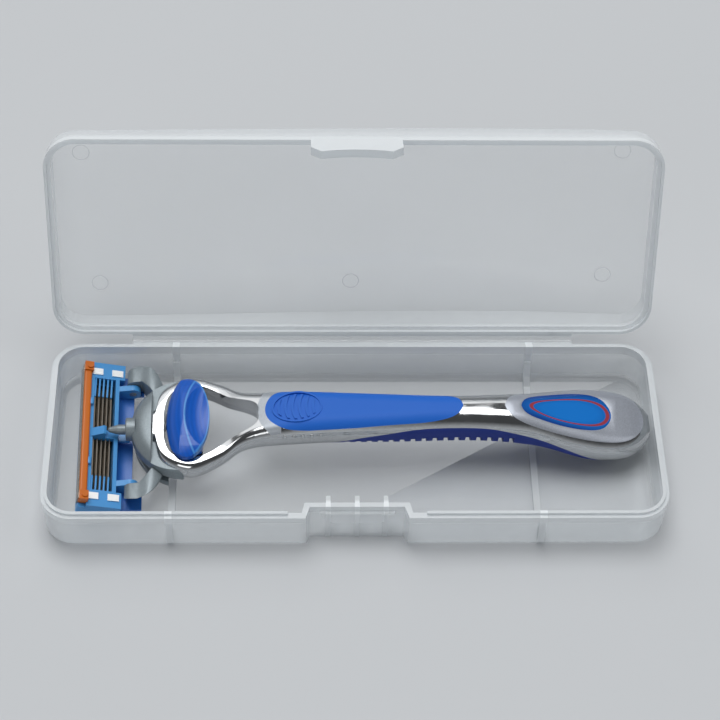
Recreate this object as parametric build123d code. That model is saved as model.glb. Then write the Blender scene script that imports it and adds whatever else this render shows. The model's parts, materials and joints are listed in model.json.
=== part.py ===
from build123d import *
from math import cos, pi, radians, sin, tan
import os

# A clear moulded storage box for a wet razor, standing open with the razor in it.
# Millimetres. The origin is the middle of the tray's underside, +X runs along the box
# towards the razor's tail, +Y towards the hinge and +Z up.

# Box, sizes at the rim
box_length = 157.0
box_depth = 56.5
corner_radius = 8.2
draft = 1.7

# Tray
tray_height = 12.6
floor_thickness = 1.2
wall = 1.3
rim_width = 1.7
base_radius = 2.4
lip_width = 0.8
lip_height = 0.8
cross_rib_x = 46.5
cross_rib_thickness = 1.8
cross_rib_height = 0.5
cross_rib_rise = 6.4

# Latch recess in the tray's front wall
latch_x = 0.3
recess_width = 25.6
recess_depth = 3.5
recess_slant = 1.0
lip_gap = 34.5
gusset_pitch = 7.2
gusset_thickness = 1.15
gusset_reach = 2.1
ridge_width = 18.7
ridge_reach = 0.8
ridge_height = 0.8
ridge_drop = 1.8
pad_width = 13.6
pad_drop = 6.5
pad_reach = 0.35
pad_corner = 1.4

# Lid
lid_rim_width = 1.8
lid_plate = 1.3
lid_wall = 1.35
lid_edge_radius = 2.6
rim_clearance = 0.15
lid_crest_x = 34.0
lid_front_end = 7.6
lid_front_crest = 9.4
lid_back_end = 8.0
lid_back_crest = 10.8
open_angle = 108.7

# Latch tab on the lid
tab_width = 23.0
tab_length = 8.0
tab_thickness = 1.4
tab_corner = 2.4
tab_hollow = 1.0
tab_lip_reach = 0.7
tab_lip_height = 2.6
hook_width = 15.0
hook_height = 0.9
latch_clearance = 0.15

# Living hinge
hinge_length = 116.0
hinge_offset = 1.6
hinge_strip = 0.8
web_thickness = 0.35
web_half_width = 0.8
web_bead_radius = 0.3

# How the razor lies in the tray
razor_roll = 5.0
razor_yaw = 1.12
razor_offset = 2.9

# Handle, measured along the razor from the middle of the box
loop_front = -51.4
loop_inner = -48.6
loop_middle = -42.0
loop_half_width = 14.4
loop_wall = 3.4
stem_x = -24.6
stem_half_width = 6.8
waist_x = 30.0
waist_half_width = 5.4
tail_x = 62.0
tail_half_width = 9.5
tail_end = 76.2
section_round = 0.42

# Grips
grip_start = -22.8
grip_end = 27.5
grip_depth = 1.5
grip_half_width = 6.4
grip_shift = 0.5
surround_edge = 0.6
surround_end = -18.8
serration_start = -2.0
serration_count = 16
serration_pitch = 2.8
serration_width = 1.3
serration_depth = 0.8
serration_side = 0.7
pad_ridge_count = 6
pad_ridge_pitch = 1.75
pad_ridge_width = 0.6
pad_ridge_height = 0.3
pad_x = -14.7
pad_length = 12.8
pad_half_width = 4.6
pad_bow = 8.0
pad_ring_width = 0.45

# Tail inlay
bezel_start = 38.2
bezel_end = 74.6
bezel_depth = 1.2
bezel_half_width = 8.3
lens_start = 42.4
lens_end = 65.9
lens_depth = 2.2
lens_half_width = 5.5
inlay_shift = 0.5

# Head
dome_x = -43.0
dome_radius = 14.0
dome_top = 15.0
dome_middle = 12.4
dome_base = 6.4
dome_cut = -43.6
fit_gap = 0.3
running_gap = 0.05
nose_front = -56.1
nose_length = 4.8
nose_width = 6.4
nose_height = 2.2

# Button and its pusher
button_length = 23.6
button_width = 11.4
button_left = -48.3
button_x = button_left + button_width / 2
button_crest = 18.6
button_crest_x = -43.2
button_centre = -18.6
button_crown = 32.0
plug_front = -45.3
plug_back = -39.0
plug_half = 5.2
pocket_radius = 1.6
pocket_end = -42.4
prong_width = 1.6
prong_offset = 5.2
prong_tip = -46.4
slider_top = 6.8
slider_thickness = 1.5

# Plunger
plunger_z = 11.2
plunger_radius = 1.3
plunger_tip_radius = 0.75
plunger_tip = -63.0
plunger_shoulder = -60.2
plunger_back = -54.4
chamber_end = -49.6
bush_radius = 3.0
bush_front = -58.4
spring_wire = 0.35

# Yoke
arm_top = 11.2
arm_tip_base = 5.9
arm_inner = 15.4
arm_outer = 20.7
arm_end_radius = 1.9
arm_tip_reach = 1.4
arm_lean = 33.0
bridge_base = 4.2
bridge_top = 6.1
bridge_inner = 9.5
bridge_outer = 13.6
pivot_x = -57.2
pivot_z = 7.0
pin_radius = 0.9
lug_width = 1.6
lug_clearance = 0.2
lug_radius = 2.0

# Cartridge, in a frame tilted about the razor's width, with its rear face at zero height
cartridge_x = -64.7
cartridge_z = 9.6
cartridge_tilt = 15.0
cartridge_length = 43.6
frame_left = -5.2
frame_right = 4.2
frame_depth = 4.6
window_left = -2.3
window_right = 3.2
window_length = 34.0
crossbar_width = 2.4
crossbar_depth = 1.5
cam_left = -3.0
cam_right = 0.9
cam_crest = 0.3
cam_height = 2.1
wing_right = 5.6
wing_inner = 17.2
wing_depth = 3.0
tongue_end = -57.7
tongue_half = 1.1
tongue_base = 6.6
tongue_top = 7.4
blade_count = 5
blade_pitch = 1.05
blade_first = -2.0
blade_length = 33.4
blade_thickness = 0.12
blade_width = 1.0
blade_lean = 22.0
support_thickness = 0.3
support_length = 35.0
support_foot = 0.6
clip_offset = 18.9
clip_width = 1.9
clip_thickness = 0.3
clip_left = -3.15
clip_right = 5.0
tail_length = 2.9
trimmer_left = -5.2
trimmer_right = -3.2
trimmer_height = 1.0
guard_right = -54.4
guard_middle = -57.0
guard_notch = 14.4
guard_length = 40.4

deg = pi / 180
rim_z = tray_height
hinge_y = box_depth / 2 + hinge_offset
wall_lean = tray_height * tan(draft * deg)


# Smooth curve through a few points, as a function of the distance along the razor
def smooth_line(points):
    xs = [p[0] for p in points]
    ys = [p[1] for p in points]
    steps = [(ys[i + 1] - ys[i]) / (xs[i + 1] - xs[i]) for i in range(len(xs) - 1)]
    slopes = [steps[0]]
    for before, after in zip(steps, steps[1:]):
        level = before * after <= 0
        slopes.append(0.0 if level else 2 * before * after / (before + after))
    slopes.append(steps[-1])

    def value(x):
        i = 0
        while i < len(steps) - 1 and x > xs[i + 1]:
            i += 1
        span = xs[i + 1] - xs[i]
        t = (x - xs[i]) / span
        start = ys[i] * (1 - t) ** 2 * (1 + 2 * t) + slopes[i] * span * t * (1 - t) ** 2
        end = ys[i + 1] * t * t * (3 - 2 * t) - slopes[i + 1] * span * t * t * (1 - t)
        return start + end

    return value


# Block between two faces drawn at different heights, along a straight line of points
def plate(points, plane, thickness):
    face = plane * make_face(Polyline(*points, close=True))
    return extrude(face, thickness)


# Rounded rectangle of the box, inset from the rim's outer edge
def plan(z, inset):
    radius = max(corner_radius - inset, 0.6)
    return Plane.XY.offset(z) * RectangleRounded(box_length - 2 * inset, box_depth - 2 * inset, radius)


def tapered_block(z0, inset0, z1, inset1):
    return loft([plan(z0, inset0), plan(z1, inset1)], ruled=True)


# Plan of the latch recess, grown on all sides by the wall that goes round it
def recess_block(grow, z0, z1):
    front = -box_depth / 2
    mouth = recess_width / 2 + grow
    back = mouth - recess_slant
    deep = front + recess_depth + grow
    points = [
        (latch_x - mouth, front - 3),
        (latch_x - mouth, front + 0.4),
        (latch_x - back, deep),
        (latch_x + back, deep),
        (latch_x + mouth, front + 0.4),
        (latch_x + mouth, front - 3),
    ]
    return plate(points, Plane.XY.offset(z0), z1 - z0)


def tray_cavity():
    cavity = tapered_block(floor_thickness, wall_lean + wall, rim_z, rim_width)
    cavity = fillet(cavity.edges().group_by(Axis.Z)[0], base_radius - 1.0)
    return cavity - recess_block(wall, -1, rim_z + 1)


# Low rib across the floor that runs up both long walls
def cross_rib(x):
    side = box_depth / 2 - rim_width + 0.4
    low = floor_thickness / 2
    rib = floor_thickness + cross_rib_height
    top = floor_thickness + cross_rib_rise
    half = [(side, low), (side, top), (side - 0.9, top), (side - 2.2, rib + 1.6), (side - 4.4, rib)]
    other = [(-y, z) for y, z in reversed(half)]
    start = Plane.YZ.offset(x - cross_rib_thickness / 2)
    return plate(half + other, start, cross_rib_thickness)


def gusset(x):
    back = -box_depth / 2 + recess_depth + wall
    low = floor_thickness / 2
    points = [
        (back - 0.5, low),
        (back + gusset_reach + 0.3, low),
        (back + gusset_reach, rim_z),
        (back - 0.5, rim_z),
    ]
    return plate(points, Plane.YZ.offset(x - gusset_thickness / 2), gusset_thickness)


# Rim lip that locates the lid, open in front of the latch
def tray_lip():
    ring = plan(rim_z - 0.3, rim_width - lip_width) - plan(rim_z - 0.3, rim_width)
    lip = extrude(ring, lip_height + 0.3)
    gap = Pos(latch_x, -box_depth / 2, rim_z) * Box(lip_gap, 8, 4)
    return lip - gap


def catch_ridge():
    face = -box_depth / 2 + recess_depth
    top = rim_z - ridge_drop
    points = [
        (face + 0.4, top),
        (face - ridge_reach + 0.3, top),
        (face - ridge_reach, top - 0.3),
        (face - ridge_reach, top - ridge_height),
        (face + 0.4, top - ridge_height),
    ]
    ridge = plate(points, Plane.YZ.offset(latch_x - ridge_width / 2), ridge_width)
    height = pad_drop - ridge_drop
    outline = RectangleRounded(pad_width, height, pad_corner)
    front = Plane(origin=(latch_x, face - pad_reach, top - height / 2), z_dir=(0, 1, 0), x_dir=(1, 0, 0))
    return ridge + extrude(front * outline, pad_reach + 0.4)


def hinge_strip_block(z0, z1):
    start = box_depth / 2 - 0.6
    end = hinge_y - web_half_width
    middle = (start + end) / 2
    return Pos(0, middle, (z0 + z1) / 2) * Box(hinge_length, end - start, z1 - z0)


def base_tray():
    tray = tapered_block(0, wall_lean, rim_z, 0)
    tray = fillet(tray.edges().group_by(Axis.Z)[0], base_radius)
    tray -= recess_block(0, -1, rim_z + 1)
    tray -= tray_cavity()
    tray += tray_lip()
    for side in (-1, 1):
        tray += cross_rib(side * cross_rib_x)
    for step in (-1, 0, 1):
        tray += gusset(latch_x + step * gusset_pitch)
    tray += catch_ridge()
    tray += hinge_strip_block(rim_z - hinge_strip, rim_z - web_thickness / 2)
    return tray


# Face across the box under the lid's crowned top, at one depth
def crown_profile(y, end, crest, drop):
    reach = box_length / 2 + 2
    base = rim_z - 2
    left = (-reach, y, rim_z + end - drop)
    middle = (-reach * 0.3, y, rim_z + end + (crest - end) * 0.55 - drop)
    top = (lid_crest_x, y, rim_z + crest - drop)
    right = (reach, y, rim_z + end - drop)
    crown = Spline(left, middle, top, right)
    sides = Polyline(right, (reach, y, base), (-reach, y, base), left)
    return make_face([crown, sides])


def crown_block(drop):
    front = crown_profile(-box_depth / 2 - 2, lid_front_end, lid_front_crest, drop)
    back = crown_profile(box_depth / 2 + 2, lid_back_end, lid_back_crest, drop)
    return loft([front, back], ruled=True)


def lid_block(inset, top_inset, drop):
    height = lid_back_crest + 2
    lean = height * tan(draft * deg)
    block = tapered_block(rim_z, inset, rim_z + height, lean + top_inset)
    return block & crown_block(drop)


def latch_tab():
    front = -box_depth / 2
    half = tab_width / 2
    low = rim_z - tab_length
    top = rim_z + 1.6
    edge = make_face([
        Polyline((-half + 2.6, low), (-half, low + tab_corner), (-half, top), (half, top),
                 (half, low + tab_corner), (half - 2.6, low)),
        ThreePointArc((half - 2.6, low), (0, low + tab_hollow), (-half + 2.6, low)),
    ])
    face = Plane(origin=(latch_x, front, 0), z_dir=(0, 1, 0), x_dir=(-1, 0, 0))
    tab = extrude(face * edge, tab_thickness)
    lip = extrude(face * edge, -tab_lip_reach)
    scoop_radius = 30.0
    scoop_z = low + tab_lip_height + scoop_radius - 0.4
    wide = Pos(latch_x, front - 1, rim_z + 6) * Box(60, 4, 14)
    scoop = Pos(latch_x, front, scoop_z) * Rot(90, 0, 0) * Cylinder(scoop_radius, 4)
    tab += lip - wide - scoop
    ridge_front = front + recess_depth - ridge_reach
    hook_tip = ridge_front - latch_clearance
    hook_top = rim_z - ridge_drop - ridge_height - latch_clearance
    inner = front + tab_thickness - 0.3
    points = [
        (inner, hook_top),
        (hook_tip, hook_top),
        (hook_tip, hook_top - 0.4),
        (hook_tip - 0.6, hook_top - hook_height),
        (inner, hook_top - hook_height),
    ]
    return tab + plate(points, Plane.YZ.offset(latch_x - hook_width / 2), hook_width)


# The lid, drawn closed on the tray and then turned open about the hinge
def lid():
    body = lid_block(0, 0, 0)
    top_edges = body.edges().filter_by(lambda e: e.center().Z > rim_z + 5 and e.bounding_box().size.Z < 4)
    body = fillet(top_edges, lid_edge_radius)
    cavity = lid_block(lid_rim_width, lid_wall, lid_plate)
    body -= cavity
    rebate = extrude(plan(rim_z, rim_width - lip_width - rim_clearance), lip_height + rim_clearance)
    body -= rebate
    body += hinge_strip_block(rim_z + web_thickness / 2, rim_z + hinge_strip)
    body += latch_tab()
    return turn_lid(body, open_angle)


# Turn about the hinge line by an opening angle
def turn_lid(shape, angle):
    return Pos(0, hinge_y, rim_z) * Rot(-angle, 0, 0) * Pos(0, -hinge_y, -rim_z) * shape


# Thin film and its bead, bent at the crease as the lid stands
def hinge_web():
    leaf = Pos(0, hinge_y - web_half_width / 2, rim_z) * Box(hinge_length, web_half_width, web_thickness)
    tray_leaf = Pos(0, 0, -web_thickness / 2) * leaf
    lid_leaf = turn_lid(Pos(0, 0, web_thickness / 2) * leaf, open_angle)
    bead = Pos(0, hinge_y, rim_z) * Rot(0, 90, 0) * Cylinder(web_bead_radius, hinge_length)
    return tray_leaf + lid_leaf + bead


# Place of the razor in the tray
def stow(shape):
    return Pos(0, razor_offset, 0) * Rot(0, 0, razor_yaw) * Rot(razor_roll, 0, 0) * shape


half_width = smooth_line([
    (loop_front, 4.6), (loop_front + 3.0, 11.4), (loop_middle, loop_half_width), (-35.5, 12.5),
    (-29.5, 8.4), (stem_x, 7.3), (-14.0, stem_half_width), (waist_x, waist_half_width),
    (46.0, 6.6), (54.0, 8.4), (tail_x, tail_half_width), (68.0, 9.2), (73.0, 7.0), (tail_end, 3.2),
])
top_line = smooth_line([
    (loop_front, 13.8), (loop_middle, 14.6), (-34.0, 15.2), (-27.0, 17.4), (-20.0, 19.1), (-12.0, 19.8),
    (20.0, 19.6),
    (40.0, 18.9), (54.0, 16.0), (66.0, 13.7), (72.0, 12.3), (tail_end, 10.2),
])
bottom_line = smooth_line([
    (loop_front, 9.0), (loop_middle, 8.8), (-26.0, 11.0), (-8.0, 10.8), (15.0, 9.0),
    (40.0, 8.2), (53.0, 6.9), (64.0, 4.8), (70.0, 4.6), (tail_end, 7.2),
])
# Line where the chrome meets the serrated underside
part_line = smooth_line([
    (-12.0, 11.0), (-6.0, 12.7), (4.0, 15.3), (18.0, 17.0), (32.0, 16.7), (46.0, 13.8),
    (58.0, 9.4), (66.0, 5.2), (70.0, 3.0),
])


def handle_section(x):
    low = bottom_line(x)
    high = top_line(x)
    width = 2 * half_width(x)
    radius = section_round * min(width, high - low)
    station = Plane(origin=(x, 0, (low + high) / 2), x_dir=(0, 1, 0), z_dir=(1, 0, 0))
    return station * RectangleRounded(width, high - low, radius)


# The whole handle's outer shape, with its grips and inlays
def handle_envelope():
    stations = [loop_front, -50.4, -48.5, -45.5, loop_middle, -38.0, -33.5, -28.5, stem_x, -14.0, 2.0,
                16.0, waist_x, 38.0, 46.0, 54.0, tail_x, 67.5, 71.5, 74.5, tail_end]
    return loft([handle_section(x) for x in stations])


# Slab over the whole width between two heights that follow lines along the razor
def band(x0, x1, low, high, count):
    xs = [x0 + (x1 - x0) * i / count for i in range(count + 1)]
    upper = Spline(*[(x, 0, high(x)) for x in xs])
    lower = Spline(*[(x, 0, low(x)) for x in xs])
    ends = [Line(upper @ 0, lower @ 0), Line(upper @ 1, lower @ 1)]
    return extrude(make_face([upper, lower] + ends), 40, both=True)


# Closed plan outline, symmetric about the razor's middle, from its far half
def mirrored_outline(points):
    far = Spline(*points)
    near = Spline(*[(x, -y) for x, y in points])
    return make_face([far, near])


def opening_block():
    inner = [(x, half_width(x) - loop_wall) for x in (-46.5, loop_middle, -37.0, -31.5, -27.0)]
    points = [(loop_inner, 0), (loop_inner + 0.25, 5.6)] + inner + [(stem_x - 0.9, 3.4), (stem_x, 0)]
    return extrude(mirrored_outline(points), 40)


def grip_outline(edge):
    start = grip_start - edge
    width = grip_half_width + edge
    end = grip_end + edge
    outline = mirrored_outline([
        (start, 0), (start + 1.0, width * 0.5), (start + 4.4, width * 0.9), (start + 8.5, width),
        (-2, width - 0.4), (12, width - 1.4), (end - 5.0, width - 2.5), (end - 1.3, width - 4.0), (end, 0),
    ])
    return Pos(0, grip_shift, 0) * outline


def inlay_outline(start, end, width):
    length = end - start
    outline = mirrored_outline([
        (start, 0), (start + 0.04 * length, width * 0.34), (start + 0.2 * length, width * 0.66),
        (start + 0.45 * length, width * 0.9), (start + 0.72 * length, width),
        (start + 0.9 * length, width * 0.8), (start + 0.975 * length, width * 0.42), (end, 0),
    ])
    return Pos(0, inlay_shift, 0) * outline


def top_slab(x0, x1, depth):
    return band(x0, x1, lambda x: top_line(x) - depth, lambda x: top_line(x) + 2, 8)


# Notches round the underside, cut down to a slightly smaller handle
def serrations(grip):
    xs = [serration_start + i * serration_pitch for i in range(serration_count)]
    stations = [xs[0] - 2, xs[0] + 8, xs[0] + 18, xs[0] + 28, xs[0] + 36, xs[-1] + 2]
    core = loft([inner_section(x) for x in stations])
    skin = grip - core
    slabs = [box_between(x - serration_width / 2, x + serration_width / 2, -12, 12, 0, 13.2) for x in xs]
    return [skin & slab for slab in slabs]


def inner_section(x):
    low = bottom_line(x) + serration_depth
    high = top_line(x) + 2
    width = 2 * (half_width(x) - serration_side)
    station = Plane(origin=(x, 0, (low + high) / 2), x_dir=(0, 1, 0), z_dir=(1, 0, 0))
    return station * RectangleRounded(width, high - low, section_round * width)


# Curved ridges on the thumb end of the front grip
def pad_ridges():
    middle = Pos(pad_x, grip_shift, 0)
    rim = middle * Ellipse(pad_length / 2, pad_half_width)
    groove = middle * Ellipse(pad_length / 2 - pad_ring_width, pad_half_width - pad_ring_width)
    land = middle * Ellipse(pad_length / 2 - 2 * pad_ring_width, pad_half_width - 2 * pad_ring_width)
    oval = extrude(land, 40)
    slab = band(-24, -2, lambda x: top_line(x) - 0.5, lambda x: top_line(x) + pad_ridge_height, 6)
    ridges = [extrude(rim - groove, 40) & slab]
    for i in range(pad_ridge_count):
        x = pad_x + (i - (pad_ridge_count - 1) / 2) * pad_ridge_pitch + pad_bow
        ring = Cylinder(pad_bow + pad_ridge_width, 60) - Cylinder(pad_bow, 60)
        ring = Pos(x, grip_shift, 0) * ring
        left = box_between(x - 2 * pad_bow, x - 1.0, -9, 9, 0, 40)
        ridges.append(ring & left & oval & slab)
    return ridges


# Handle pieces cut out of one outer shape, so that their faces meet exactly
def handle_pieces():
    outer = handle_envelope() - opening_block()
    under = band(-12.0, 68.5, lambda x: bottom_line(x) - 3, part_line, 12)
    rear_grip = outer & under
    body = outer - under
    for notch in serrations(rear_grip):
        rear_grip -= notch
    grip = body & top_slab(-30, 36, grip_depth) & extrude(grip_outline(0), 40)
    body -= grip
    margin = extrude(grip_outline(surround_edge + 1.4), 40) & box_between(-30, surround_end, -20, 20, 0, 40)
    surround = body & top_slab(-30, 0, grip_depth) & margin
    body -= surround
    for ridge in pad_ridges():
        grip += ridge
    outline = inlay_outline(bezel_start, bezel_end, bezel_half_width)
    bezel = body & top_slab(34, 75.6, bezel_depth) & extrude(outline, 40)
    body -= bezel
    lens_cut = extrude(inlay_outline(lens_start, lens_end, lens_half_width), 40)
    lens = (body + bezel) & top_slab(36, 75, lens_depth) & lens_cut
    bezel -= lens_cut
    body -= lens
    return body, grip, surround, rear_grip, bezel, lens


# Round rod or bore along the razor
def rod(radius, x0, x1, z):
    return Pos((x0 + x1) / 2, 0, z) * Rot(0, 90, 0) * Cylinder(radius, x1 - x0)


def box_between(x0, x1, y0, y1, z0, z1):
    return Pos((x0 + x1) / 2, (y0 + y1) / 2, (z0 + z1) / 2) * Box(x1 - x0, y1 - y0, z1 - z0)


# Grey bun in front of the loop, with the bore for the plunger and the pusher's channel
def head_shell(frame):
    shoulder = dome_radius - 1.6
    crown = Spline((0, dome_top), (8.0, dome_top - 0.4), (shoulder, dome_top - 1.1),
                   (dome_radius, dome_middle))
    skirt = Spline((dome_radius, dome_middle), (dome_radius - 0.4, 8.4), (11.6, dome_base))
    close = Polyline((11.6, dome_base), (0, dome_base), (0, dome_top))
    dome = revolve(Plane.XZ * make_face([crown, skirt, close]), Axis.Z)
    dome = Pos(dome_x, 0, 0) * dome
    dome = dome & box_between(-60, dome_cut, -20, 20, 0, 20)
    dome -= frame
    dome -= opening_block()
    dome -= band(loop_front - 0.4, dome_cut + 1, lambda x: top_line(x) - 1.4, lambda x: top_line(x) + 9, 4)
    reach = prong_offset + prong_width / 2 + fit_gap
    dome -= box_between(-51.2, dome_cut + 1, -reach, reach, 0, slider_top + fit_gap)
    return dome - bore()


# Chamber that holds the plunger's spring, closed by the loop's front wall
def bore():
    return rod(plunger_radius + 0.25, plunger_tip, chamber_end, plunger_z)


def docking_nose():
    x0 = nose_front
    x1 = nose_front + nose_length
    half = nose_width / 2
    points = [(x0 + 0.7, half - 0.7), (x0 + 0.7, 0.7 - half), (x1, -half), (x1, half)]
    return plate(points, Plane.XY.offset(dome_base - nose_height), nose_height)


# Thumb button: a crested cap standing over the loop, on a plug inside it
def eject_button():
    profile = make_face([
        Spline((button_left, 12.8), (button_left + 0.5, 14.8), (-46.3, 17.0), (button_crest_x, button_crest)),
        Spline((button_crest_x, button_crest), (-41.6, button_crest - 1.1), (-39.2, button_crest - 1.6),
               (-34.0, button_crest - 1.0)),
        Polyline((-34.0, button_crest - 1.0), (-34.0, 12.8), (button_left, 12.8)),
    ])
    pivot = Axis((button_centre, 0, 0), (0, 0, 1))
    cap = revolve(Plane.XZ * profile, pivot, 90)
    cap = Pos(button_centre, 0, 0) * Rot(0, 0, -45) * Pos(-button_centre, 0, 0) * cap
    outline = Pos(button_x, 0, 10) * Ellipse(button_width / 2, button_length / 2)
    cap = cap & extrude(outline, 14)
    cap &= Pos(button_x, 0, button_crest - button_crown) * Rot(0, 90, 0) * Cylinder(button_crown, 40)
    cap -= band(-52.0, -33.0, lambda x: 0, lambda x: top_line(x) + 0.35, 8)
    plug = box_between(plug_front, plug_back, -plug_half, plug_half, slider_top, button_crest - 2.4)
    plug = fillet(plug.edges().filter_by(Axis.Z), 1.2)
    button = cap + plug
    return button - rod(pocket_radius, plug_front - 1, pocket_end, plunger_z)


# Pusher under the button whose prongs reach for the yoke
def ejector_slider():
    half = prong_offset + prong_width / 2
    slider = box_between(plug_front, plug_back, -half, half, slider_top - slider_thickness, slider_top)
    for side in (-1, 1):
        y = side * prong_offset
        prong = box_between(prong_tip, plug_front + 1, y - prong_width / 2, y + prong_width / 2,
                            slider_top - slider_thickness, slider_top)
        slider += prong
    return slider


# Coil between two stops along the razor
def coil(x0, x1, radius, turns):
    height = x1 - x0 - spring_wire
    path = Helix(height / turns, height, radius)
    start = path @ 0
    wire = Plane(origin=start, z_dir=path % 0) * Circle(spring_wire / 2)
    spring = sweep(wire, path=path)
    return Pos(x0 + spring_wire / 2, 0, plunger_z) * Rot(0, 90, 0) * spring


def plunger():
    tip = Pos(plunger_tip + plunger_tip_radius, 0, plunger_z) * Sphere(plunger_tip_radius)
    x0 = plunger_tip + plunger_tip_radius
    length = plunger_shoulder - x0
    cone = Cone(plunger_tip_radius, plunger_radius, length)
    cone = Pos(x0 + length / 2, 0, plunger_z) * Rot(0, 90, 0) * cone
    return tip + cone + rod(plunger_radius, plunger_shoulder, plunger_back, plunger_z)


def plunger_bush(dome):
    collar = rod(bush_radius, bush_front, bush_front + 2.4, plunger_z)
    collar = fillet(collar.edges().group_by(Axis.X)[0], 0.4)
    collar -= rod(plunger_radius + running_gap, bush_front - 1, bush_front + 3, plunger_z)
    collar &= box_between(-60, -55.2, -5, 5, 0, 20)
    return collar - dome


# Plan of an arm, its outer edge drawn in towards the dome
def arm_outline(z, drawn_in):
    left = pivot_x - arm_tip_reach
    rise = arm_outer - drawn_in
    outline = make_face([
        Spline((-48.0, 11.6 - drawn_in), (-48.9, 13.8 - drawn_in), (-50.9, 17.5 - drawn_in), (-55.4, rise)),
        Polyline((-55.4, rise), (left, rise), (left, arm_inner), (-54.8, arm_inner)),
        Spline((-54.8, arm_inner), (-53.2, 13.8 - 0.6 * drawn_in), (-51.5, 11.4 - drawn_in),
               (-50.2, 9.4 - drawn_in)),
        Line((-50.2, 9.4 - drawn_in), (-48.0, 11.6 - drawn_in)),
    ])
    return Pos(0, 0, z) * outline


# One arm of the yoke, on the far side, its outer flank leaning in downwards
def yoke_arm():
    left = pivot_x - arm_tip_reach
    drop = arm_top - bridge_base
    shell = loft([arm_outline(bridge_base, drop * tan(arm_lean * deg)), arm_outline(arm_top, 0)])
    side = make_face([
        Spline((left, pivot_z + 1.6), (left + 0.5, pivot_z + 2.5), (-55.0, 10.4), (-52.2, arm_top),
               (-49.4, 10.4), (-47.4, 8.0)),
        Polyline((-47.4, 8.0), (-47.4, bridge_base), (-52.6, bridge_base), (-54.0, arm_tip_base),
                 (pivot_x, pivot_z - arm_end_radius)),
        Spline((pivot_x, pivot_z - arm_end_radius), (pivot_x - 1.0, pivot_z - 1.5), (left, pivot_z - 0.8)),
        Line((left, pivot_z - 0.8), (left, pivot_z + 1.6)),
    ])
    block = extrude(Plane.XZ * side, -30)
    arm = shell & block
    clear = Pos(dome_x, 0, bridge_top + 10) * Cylinder(dome_radius + fit_gap, 20)
    arm -= clear
    pin_length = lug_width + lug_clearance + 1.0
    pin_y = arm_inner + 1.0 - pin_length / 2
    pin = Pos(pivot_x, pin_y, pivot_z) * Rot(90, 0, 0) * Cylinder(pin_radius, pin_length)
    return arm + pin


# Grey fork that carries the cartridge and docks on the nose
def yoke():
    middle = (bridge_base + bridge_top) / 2
    height = bridge_top - bridge_base
    ring = Cylinder(bridge_outer, height) - Cylinder(bridge_inner, height)
    bridge = Pos(dome_x, 0, middle) * ring
    bridge &= box_between(-60, -47.6, -20, 20, 0, 20)
    half = nose_width / 2 + fit_gap
    bridge -= box_between(nose_front + 0.4, -40, -half, half, 0, 20)
    arm = yoke_arm()
    return bridge + arm + mirror(arm, about=Plane.XZ)


# Frame of the cartridge: u runs across it towards the guard, v along it, w out of its rear
def seat(shape):
    return Pos(cartridge_x, 0, cartridge_z) * Rot(0, cartridge_tilt, 0) * shape


def frame_block():
    body = box_between(frame_left, frame_right, -cartridge_length / 2, cartridge_length / 2, -frame_depth, 0)
    return fillet(body.edges().filter_by(Axis.Z), 0.8)


def crossbar():
    half = crossbar_width / 2
    return box_between(trimmer_right - 0.6, window_right + 0.1, -half, half, -crossbar_depth, -0.1)


# Lug at each end that turns on the yoke's pin
def pivot_lug(side):
    y1 = arm_inner - lug_clearance
    y0 = y1 - lug_width
    round_end = Pos(pivot_x, 0, pivot_z) * Rot(90, 0, 0) * Cylinder(lug_radius, y1 - y0)
    hole = Pos(pivot_x, 0, pivot_z) * Rot(90, 0, 0) * Cylinder(pin_radius + running_gap, y1 - y0)
    points = [(pivot_x, pivot_z + lug_radius), (pivot_x, pivot_z - lug_radius), (-62.2, 4.8), (-61.4, 8.4)]
    link = extrude(Plane.XZ * make_face(Polyline(*points, close=True)), (y1 - y0) / 2, both=True)
    return Pos(0, side * (y0 + y1) / 2, 0) * (round_end + link - hole)


def cartridge_frame(supports, clips):
    body = frame_block()
    half = window_length / 2
    window = box_between(window_left, window_right, -half, half, -frame_depth - 1, 1)
    body -= window
    half = crossbar_width / 2
    ramp = make_face(Polyline((cam_left, -0.1), (cam_crest, cam_height), (cam_right, cam_height - 0.3),
                              (cam_right, -crossbar_depth), (cam_left, -crossbar_depth), close=True))
    body += crossbar() + extrude(Plane.XZ * ramp, half, both=True)
    for side in (-1, 1):
        y0, y1 = sorted((side * wing_inner, side * cartridge_length / 2))
        body += box_between(frame_right - 0.5, wing_right, y0, y1, -wing_depth, 0)
    shelf = box_between(frame_left - 1, trimmer_right, -30, 30, -1.2, 1)
    body -= shelf
    for support in supports:
        body -= support
    for clip in clips:
        body -= clip
    body = seat(body)
    for side in (-1, 1):
        body += pivot_lug(side) - seat(frame_block())
    tongue = box_between(-62.5, tongue_end, -tongue_half, tongue_half, tongue_base, tongue_top)
    return body + (tongue - seat(frame_block()))


# Bent strip that carries one blade
def blade_support(u):
    half = support_thickness / 2
    leg = box_between(u - half, u + half, -support_length / 2, support_length / 2, -2.7, -0.7)
    foot = box_between(0, support_foot, -blade_length / 2, blade_length / 2, -support_thickness * 0.7, 0)
    foot = Pos(u + half, 0, -2.45) * Rot(0, blade_lean, 0) * Pos(-0.12, 0, 0) * foot
    keep = box_between(u - half, u + 3, -30, 30, -6, 0)
    return leg + (foot & keep) - crossbar()


def blade(u):
    top = -support_thickness * 0.7
    strip = box_between(-0.05, blade_width, -blade_length / 2, blade_length / 2, top - blade_thickness, top)
    strip = Pos(u + support_thickness / 2, 0, -2.45) * Rot(0, blade_lean, 0) * strip
    return strip - blade_support(u)


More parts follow.
